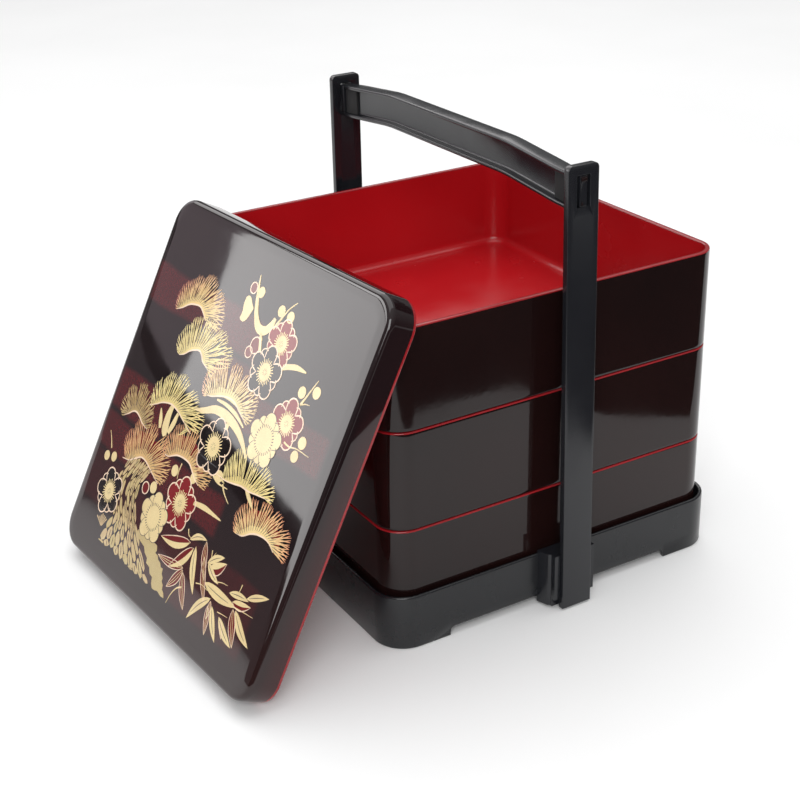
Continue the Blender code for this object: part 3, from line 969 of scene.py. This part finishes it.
# Twigs: points, and the width at the thick end
TWIGS = (
    (((21.5, 163), (25, 169.5), (28.5, 175.5), (33, 180)), 1.6),
    (((62.6, 138), (65.2, 143.5), (67.4, 148.5), (69.4, 152.6)), 1.5),
    (((62.6, 138), (66, 139.6), (69.4, 140.2)), 0.9),
    (((61, 118.6), (66, 118), (72, 119.2), (82, 119)), 1.1),
    (((-82, 60), (-85.5, 64.5), (-89, 68)), 1.0),
    (((-12, 78.5), (-12.4, 74), (-11.6, 70)), 0.9),
    (((27, 83), (31, 79.6), (37, 76.6)), 1.2),
    (((17, 84), (23, 82), (32, 82.4)), 1.6),
    (((24, 26), (20, 23.6), (17, 19), (15.4, 13.4)), 1.0),
    (((68, 36.6), (76, 37.8), (85, 38.8)), 0.7),
    (((34, 33), (39, 34.4), (45, 34)), 0.7),
    (((38, 52.4), (39.4, 49), (41.4, 52.6)), 0.6),
    (((69.4, 48.6), (69, 45), (67.6, 41.6)), 0.6),
    (((50, 41), (54, 42.4), (59, 43.2)), 0.6),
    (((13, 53), (15, 50.4), (17.4, 50)), 0.8),
    (((58, 29), (63, 29.8), (67, 30.2)), 0.5),
)

# Branches: points with a width at each
BRANCHES = (
    ((-4.2, 183.6, 0.5), (-2.4, 178, 1.6), (0.6, 171, 2.6), (4.4, 164.4, 3.4), (9.6, 159.8, 4.6),
     (15.4, 160, 4.6), (18.8, 163.6, 4.0), (20.4, 168, 2.2)),
    ((-17, 106.6, 1.0), (-9, 109, 3.2), (0, 112.6, 4.4), (11, 113, 5.0), (22, 110.6, 4.4), (30, 106.6, 3.2),
     (37.4, 101, 1.2)),
    ((-2, 117.4, 1.0), (7, 117.8, 2.0), (17, 116.4, 2.2), (27, 113, 0.9)),
    ((0, 120.4, 0.8), (9, 121, 1.3), (20, 119.6, 0.7)),
    ((13.6, 113, 3.4), (14, 109.6, 2.8), (14.2, 107, 2.0)),
    ((16, 155, 1.0), (13, 158.6, 1.6), (17, 151, 2.2), (19, 146, 1.6)),
    ((45, 89, 1.0), (50, 86, 2.6), (55.6, 82.4, 1.0)),
    ((-38, 101, 3.0), (-39, 95, 5.0), (-38, 88, 6.0), (-36, 84.6, 3.0)),
    ((-48, 96, 0.8), (-45, 91, 3.2), (-43, 86.6, 2.0)),
    ((-31, 99, 2.0), (-32, 93, 3.6), (-34, 87, 2.4)),
)

# The trunk's two edges from its top down to its straight foot, and its openings as across, up, half sizes
TRUNK_LEFT = ((-60, 66), (-64, 57), (-66.4, 51), (-66, 44), (-62, 37), (-58.4, 31), (-61, 25), (-62.8, 19),
              (-64, 13.2))
TRUNK_RIGHT = ((-36, 66), (-39, 60), (-41.6, 54), (-41, 47), (-37.4, 40), (-31, 33.4), (-22.4, 27),
               (-12, 20), (-3.6, 13.2))
OPENINGS = ((-54.8, 50, 0.8, 2.4), (-54.8, 45, 0.8, 2.4), (-46.6, 53, 0.7, 1.0), (-33, 27.6, 0.8, 0.6))
ROOT = ((-31, 31.4), (-29, 35), (-26, 36.6), (-20, 36), (-12, 34.4), (-8.4, 34.2), (-7.2, 32), (-7.8, 30.4),
        (-5, 30.2), (-3.4, 28.6), (-0.6, 28), (1, 26.4), (3.2, 26.6), (3.8, 24), (5.8, 22.6), (6, 20.8),
        (8, 19.6), (8.6, 17.4), (10.6, 16.6), (12.4, 14.4), (9, 14), (5, 15), (2.4, 14.2), (-0.4, 14),
        (-2.4, 15.8), (-3.4, 18.8), (-6.6, 19.4), (-8.8, 22), (-12.6, 22.6), (-13.4, 25), (-17, 26.4),
        (-19.4, 28.8), (-24, 29.6))


# A flake's corners, as shares of its half width from its middle and of its length from its top
FLAKE = ((0.1, 0.01), (0.8, 0.2), (1.0, 0.5), (0.8, 0.8), (-0.1, 0.99), (-0.84, 0.78), (-1.0, 0.5),
         (-0.8, 0.22))


def between_points(one, other, share):
    return one[0] + (other[0] - one[0]) * share, one[1] + (other[1] - one[1]) * share


def along_edge(edge, share):
    place = share * (len(edge) - 1)
    i = min(int(place), len(edge) - 2)
    return between_points(edge[i], edge[i + 1], place - i)


def on_trunk(column, share):
    """A point of the trunk at these shares of its width, from the left, and of its height, from the top."""
    x, y = between_points(along_edge(TRUNK_LEFT, share), along_edge(TRUNK_RIGHT, share), column)
    return x + 0.9 * math.sin(9 * share + 2 * column) * (1 - share), y


def trunk(gold, cuts):
    """Flakes of bark in columns that follow the trunk and widen to its foot."""
    half = 0.5 / BARK_COLUMNS
    for k in range(BARK_COLUMNS):
        centre = (k + 0.5) / BARK_COLUMNS
        for row in range(-1, 7):
            start = (row + 0.5 * (k % 2) + dice.uniform(-0.12, 0.12)) * FLAKE_PITCH
            low, high = max(start, 0), min(start + FLAKE_PITCH, 1.0)
            long = high - low
            if long < FLAKE_SHORTEST:
                continue
            outline = []
            for side, at in FLAKE:
                column = centre + side * half + dice.uniform(-0.1, 0.1) * half
                outline.append(on_trunk(column, min(low + at * long + dice.uniform(-0.006, 0.006), 1.0)))
            x, y = (sum(values) / len(FLAKE) for values in zip(*outline))
            if any(abs(x - ox) < rx + OPENING_EDGE and abs(y - oy) < ry + OPENING_EDGE
                   for ox, oy, rx, ry in OPENINGS):
                continue
            gold.fill(outline, [dice.uniform(0, 0.8)] * len(FLAKE))
            if dice.random() < 0.55:
                middle = [on_trunk(centre + dice.uniform(-0.012, 0.012), low + long * t)
                          for t in (0.25, 0.5, 0.78)]
                cuts.stroke(middle, (0.2, 0.45, 0.2))


# Solid gold shapes: a heart shaped leaf and the ends of two branches
BLOBS = (
    ((-9.3, 170.2), (-7.6, 171.6), (-5, 171), (-2.4, 168.6), (-0.2, 167), (-1, 164), (-2.4, 160.6),
     (-4.4, 158.6), (-6.8, 158.5), (-8.5, 159.6), (-8.2, 161.8), (-8.4, 164), (-9.3, 166.6)),
    ((40, 147.6), (45, 149.6), (51, 151.2), (58, 152.2), (57.4, 153.2), (50, 153.8), (44, 152.2),
     (39.6, 150.4)),
    ((9.6, 64.6), (16, 65.4), (23, 66), (35, 66.8), (34.6, 67.6), (27, 68.2), (20, 68.6), (13, 67.6),
     (9.8, 66.6)),
)

# Bamboo leaves: base, tip, width, sideways bow, kind
LEAVES = (
    (17, 49, 31, 54.4, 3.6, 1.6, "gold"), (31, 54, 39.6, 37, 4.4, -1.2, "lined"),
    (18.4, 47.8, -8, 40, 6.4, 1.4, "half"), (24, 48.2, 34.6, 27, 5.2, -1.6, "gold"),
    (22.6, 46.6, 7, 29.8, 6.4, 1.2, "half"), (19.6, 34.4, -5, 31, 4.6, 0.8, "lined"),
    (20, 33.6, 11, 20.4, 5.4, 0.6, "lined"), (20.8, 32.6, 31, 17, 4.8, -0.8, "lined"),
    (37.6, 45.4, 49.4, 53.4, 4.2, 0.9, "gold"), (40.4, 43.6, 52.6, 51.6, 6.4, -1.2, "half"),
    (38, 46, 51.4, 40.4, 4.0, -0.9, "gold"), (40.6, 36.6, 70.6, 37, 6.4, -0.8, "gold"),
    (33.6, 47, 45.4, 27.6, 4.0, -1.0, "lined"), (49.6, 32, 36, 15, 5.2, -1.6, "gold"),
    (49.4, 28, 54, 14.8, 3.8, 0.4, "lined"), (52.6, 29.4, 64, 15.6, 4.6, -0.8, "gold"),
    (60.6, 27.6, 77, 19.2, 4.8, -1.0, "gold"), (69, 35.6, 78, 19.8, 5.2, -0.6, "lined"),
    (71, 36, 89.4, 25.2, 5.4, -1.4, "gold"), (62, 41, 78, 43.8, 3.8, 0.6, "gold"),
    (76, 44.4, 91.6, 51.6, 3.8, 0.4, "gold"), (66.6, 38.4, 81, 42.2, 4.6, -0.9, "half"),
    (50.4, 31, 51.6, 22, 2.4, 0.3, "lined"), (62, 27, 68, 19.4, 2.2, 0.3, "lined"),
)


def leaf_sides(x0, y0, x1, y1, width, bow):
    """Middle line and both edges of a leaf from base to tip."""
    length = math.hypot(x1 - x0, y1 - y0)
    tx, ty = (x1 - x0) / length, (y1 - y0) / length
    middle, left, right = [], [], []
    for i in range(LEAF_STEPS + 1):
        t = i / LEAF_STEPS
        swell = math.sin(math.pi * t ** 0.8) ** 0.85 * width / 2
        side = bow * math.sin(math.pi * t)
        x, y = x0 + tx * length * t - ty * side, y0 + ty * length * t + tx * side
        middle.append((x, y))
        left.append((x - ty * swell, y + tx * swell))
        right.append((x + ty * swell, y - tx * swell))
    return middle, left, right


def between(one, other, share):
    return [between_points(a, b, share) for a, b in zip(one, other)]


def taper(count, width):
    """Widths of a line that swells in its middle."""
    return [0.16 + width * math.sin(math.pi * i / (count - 1)) for i in range(count)]


def band_between(inlay, one, other):
    """A shape between two lines of as many points."""
    points = one + other[::-1]
    count = len(one)
    faces = [(i, i + 1, 2 * count - 2 - i, 2 * count - 1 - i) for i in range(count - 1)]
    inlay.add(points, faces, list(range(2 * count)))


# Bristles at the foot of the trunk: their start, their directions in degrees, and shares of their length
TUFT_FOOT = (-65.6, 20)
TUFT_ANGLES = (62, 77, 92, 107, 122, 137, 152)
TUFT_SHARES = (0.1, 0.4, 0.7, 0.9, 1)


def tuft(bark):
    for angle in TUFT_ANGLES:
        x, y = polar((0, 0), dice.uniform(6, 9), angle)
        path = [(TUFT_FOOT[0] + x * t, TUFT_FOOT[1] + y * t * (1.2 - 0.2 * t)) for t in TUFT_SHARES]
        bark.stroke(path, (0.3, 0.5, 0.7, 0.9, 0.4), [0.9] * len(TUFT_SHARES))


def make_leaf(fronts, gold, line, cuts, sides, kind):
    """A bamboo leaf: all gold, half gold and half red, or red with gold lines."""
    middle, left, right = sides
    count = len(middle)
    if kind == "gold":
        band_between(gold, between(left, right, 0.03), between(left, right, 0.97))
        cuts.stroke(middle[1:-2], taper(count - 3, 0.25))
    elif kind == "half":
        band_between(fronts, right, middle)
        band_between(gold, middle, left)
        line.stroke(right, taper(count, 0.34))
    else:
        band_between(fronts, left, right)
        edges = ((0.0, line, 0.26), (0.36, gold, 0.1), (0.64, gold, 0.1), (1.0, line, 0.26))
        for share, part, width in edges:
            part.stroke(between(left, right, share), taper(count, width))


def blossom(parts, kind, centre, radius, heart, turn):
    """A plum blossom: its petals, the line round them, and what fills its middle."""
    front, behind = petals(centre, radius, turn)
    dark = kind == "gold"
    outline = parts["cut" if dark else "line"]
    for small in behind:
        parts[kind].fill(small)
        outline.stroke(small[1:], [0.34 if dark else 0.62] * (len(small) - 1))
    parts[kind].fill(front)
    outline.closed_line(front, 0.34 if dark else 0.72)
    if dark:
        dashes(outline, centre, heart, heart + 1.5)
    else:
        stamens(parts["gold"], parts["cut"], centre, heart)


def make_ornament():
    bark = Inlay("ornament_bark", BARK_GOLD)
    groups = {kind: Inlay(f"ornament_pine_{kind}", inlay_material(f"pine_{kind}", colour, tip), level)
              for kind, (colour, tip, _, level) in PINE_KINDS.items()}
    fronts = Inlay("ornament_leaf_red", LEAF_RED, 0.04)
    glow = Inlay("ornament_pine_red", LEAF_RED, -0.02)
    gold = Inlay("ornament_gold", GOLD, 0.05)
    line = Inlay("ornament_lines", PALE, 0.07)
    cuts = Inlay("ornament_cuts", BARK_DARK, 0.08)
    kinds = (("red", PETAL_RED, 0.0), ("black", PETAL_BLACK, 0.0), ("gold", GOLD, 0.01),
             ("line", PALE, 0.02), ("cut", BARK_DARK, 0.03))
    layers = [{kind: Inlay(f"blossom_{kind}_{word}", material, level + rise)
               for kind, material, rise in kinds} for word, level in (("lower", 0.05), ("upper", 0.10))]
    for kind, fans, arch in PINES:
        ground = glow if kind in ("copper", "fire") else None
        pine(groups[kind], line, cuts, ground, fans, arch, PINE_KINDS[kind][2])
    trunk(bark, cuts)
    bark.fill(ROOT)
    for kind, across, up, radius, heart, turn, layer in BLOSSOMS:
        blossom(layers[layer], kind, (across, up), radius, heart, turn)
    for across, up, radius, kind in BUDS:
        round_bud = circle((across, up), radius, 20)
        (gold if kind == "gold" else fronts).fill(round_bud)
        if kind == "red":
            line.closed_line(round_bud, 0.6)
    for points, width in TWIGS:
        path = smooth_path(points, 4)
        count = len(path) - 1
        gold.stroke(path, [width * (1 - 0.75 * i / count) for i in range(count + 1)])
    for points in BRANCHES:
        path = smooth_path(points, 5)
        gold.stroke([p[:2] for p in path], [max(p[2], 0.3) for p in path])
    for outline in BLOBS:
        gold.fill(smooth_path(outline + outline[:1], 3)[:-1])
    for *place, kind in LEAVES:
        make_leaf(fronts, gold, line, cuts, leaf_sides(*place), kind)
    tuft(bark)
    pieces = [glow, bark, *groups.values(), fronts, gold, line, cuts]
    for piece in pieces + [piece for layer in layers for piece in layer.values()]:
        if piece.vertices:
            piece.make()


# Stage, lights and camera

def make_stage():
    n = Nodes("pale_floor")
    tone = n.mix(n.patches(3, 3), rgb(250, 250, 250), rgb(246, 246, 246))
    material = n.finish(tone, 0.6, n.bump(n.noise(300, 2), 0.03, 0.0002))
    corners = [(-FLOOR_HALF, -FLOOR_HALF, 0), (FLOOR_HALF, -FLOOR_HALF, 0), (FLOOR_HALF, FLOOR_HALF, 0),
               (-FLOOR_HALF, FLOOR_HALF, 0)]
    floor = new_object("floor", corners, [(0, 1, 2, 3)], [material], smooth=False)
    floor.location.z = -FLOOR_DROP
    floor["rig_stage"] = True


def make_world():
    """A dim studio room, lighter overhead than at the horizon."""
    world = bpy.data.worlds.new("studio")
    bpy.context.scene.world = world
    world.use_nodes = True
    tree = world.node_tree
    background = tree.nodes["Background"]
    place = tree.nodes.new("ShaderNodeTexCoord")
    split = tree.nodes.new("ShaderNodeSeparateXYZ")
    ramp = tree.nodes.new("ShaderNodeMapRange")
    tree.links.new(place.outputs["Generated"], split.inputs[0])
    tree.links.new(split.outputs["Z"], ramp.inputs["Value"])
    for name, value in (("From Min", 0.1), ("From Max", 0.9), ("To Min", 0.10), ("To Max", 0.7)):
        ramp.inputs[name].default_value = value
    tree.links.new(ramp.outputs["Result"], background.inputs["Strength"])
    background.inputs["Color"].default_value = (1.0, 1.0, 1.0, 1)


def make_mirrored(name, outline, material):
    """A flat sheet of the stage that is seen only in glossy surfaces."""
    sheet = new_object(name, outline, [tuple(range(len(outline)))], [material], smooth=False)
    sheet.visible_camera = False
    sheet.visible_diffuse = False
    sheet.visible_shadow = False
    sheet.visible_transmission = False
    sheet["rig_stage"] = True


def make_flag():
    """A dark studio flag lying in front of the set, which only its glossy fronts see."""
    n = Nodes("flag_cloth")
    material = n.finish(n.mix(n.patches(6, 3), rgb(30, 28, 28), rgb(36, 33, 33)), 0.9)
    edge = [(-900, -352), (60, -330), (128, -322), (150, -252), (200, -212), (1400, -180)]
    outline = [(x + STACK_X, y, 2.0) for x, y in edge]
    outline += [(1400 + STACK_X, -1800, 2.0), (-900 + STACK_X, -1800, 2.0)]
    make_mirrored("flag", outline, material)


def softbox(name, where, target, side, radiance):
    light = bpy.data.lights.new(name, "AREA")
    light.shape = "RECTANGLE"
    light.size, light.size_y = side, side
    light.energy = radiance * math.pi * side * side
    obj = linked(name, light)
    obj.location = where
    aim = Vector(target) - Vector(where)
    obj.rotation_euler = aim.to_track_quat("-Z", "Y").to_euler()
    obj.visible_camera = False


def make_lights():
    softbox("overhead", (0.5, 0.8, 2.4), (0.5, 0.8, 0.0), 3.2, 1.35)
    softbox("key", (-1.3, -2.0, 1.55), (0.0, 0.0, 0.1), 1.5, 5.8)
    for card in CARDS:
        make_card(*card)


# Upright cards that the lid and the boxes mirror: name, direction in degrees, radiance, tint, and the outline
# as metres along the card's plane and up
CARD_DISTANCE = 2.0
CARDS_MIDDLE = Vector((-0.11, -0.01, 0))
CARD_DIRECTION = -48
HIGH_CARD_DIRECTION = 6
NEAR_WHITE = (1.0, 0.98, 0.98)
CARDS = (
    ("card_bright", CARD_DIRECTION, 4.6, NEAR_WHITE,
     ((-0.75, 0.25), (0.41, 0.279), (0.455, 0.462), (0.508, 0.615), (0.6, 0.95), (-0.75, 0.95))),
    ("card_dim", CARD_DIRECTION, 0.75, (1.0, 0.86, 0.92),
     ((0.41, 0.273), (0.53, 0.3), (0.65, 0.335), (1.0, 0.42), (1.0, 0.95), (0.6, 0.95), (0.508, 0.615),
      (0.455, 0.462))),
    ("card_low", CARD_DIRECTION, 0.3, (1.0, 0.9, 0.94),
     ((-0.6, 0.17), (0.0, 0.187), (0.42, 0.238), (0.5, 0.25), (0.57, 0.285), (1.0, 0.38), (1.0, 0.0),
      (-0.6, 0.0))),
    ("card_side", CARD_DIRECTION, 1.5, (1.0, 0.92, 0.96),
     ((1.04, 0.44), (2.8, 0.9), (2.8, 2.0), (1.04, 1.1))),
    ("card_edge", CARD_DIRECTION, 6.5, NEAR_WHITE,
     ((-0.75, 0.99), (0.62, 0.99), (0.62, 1.3), (-0.75, 1.3))),
    ("card_high", HIGH_CARD_DIRECTION, 2.8, NEAR_WHITE,
     ((-1.1, 1.15), (1.3, 1.15), (1.3, 2.3), (-1.1, 2.3))),
)


def make_card(name, degrees, radiance, tint, outline):
    """A softly uneven lit sheet that only glossy surfaces see."""
    n = Nodes(name)
    n.set(n.shader.inputs["Emission Strength"], n.patches(1.6, 2, 0.3, 0.7, 0.9 * radiance, 1.06 * radiance))
    n.shader.inputs["Emission Color"].default_value = (*tint, 1)
    material = n.finish(rgb(20, 20, 20), 0.9)
    sin, cos = math.sin(math.radians(degrees)), math.cos(math.radians(degrees))
    middle = CARDS_MIDDLE + Vector((sin, cos, 0)) * CARD_DISTANCE
    points = [(middle + Vector((cos * along, -sin * along, up))) / MM for along, up in outline]
    make_mirrored(name, points, material)


def make_camera():
    """The photograph's camera, from its direction, roll, place and focal length."""
    azimuth, elevation, roll = (math.radians(degrees) for degrees in CAMERA_ANGLES)
    back = Vector((math.sin(azimuth) * math.cos(elevation), -math.cos(azimuth) * math.cos(elevation),
                   math.sin(elevation)))
    level = (-back).cross(Vector((0, 0, 1))).normalized()
    upward = level.cross(-back)
    x_axis = math.cos(roll) * level - math.sin(roll) * upward
    y_axis = math.sin(roll) * level + math.cos(roll) * upward
    data = bpy.data.cameras.new("camera")
    data.sensor_width, data.lens = CAMERA_SENSOR, CAMERA_LENS
    data.clip_start, data.clip_end = 0.01, 50
    camera = linked("camera", data)
    turn = Matrix((x_axis, y_axis, back)).transposed()
    place = Vector(CAMERA_PLACE) + Vector((STACK_X * MM, 0, 0))
    camera.matrix_world = Matrix.Translation(place) @ turn.to_4x4()
    bpy.context.scene.camera = camera


for level, word in enumerate(("bottom", "middle", "top")):
    make_box(f"box_{word}", level, f"tier_{word}")
make_tray()
make_socket("front", -1)
make_socket("back", 1)
make_post("front_post", -1, "post_front")
make_post("back_post", 1, "post_back")
make_bar()
make_lid()
make_ornament()
make_stage()
make_world()
make_flag()
make_lights()
make_camera()
bpy.context.scene.view_settings.view_transform = "Standard"
for piece in list(bpy.context.scene.objects):
    if piece.type == "MESH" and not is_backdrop(piece) and "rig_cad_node" not in piece:
        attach(piece, "root")
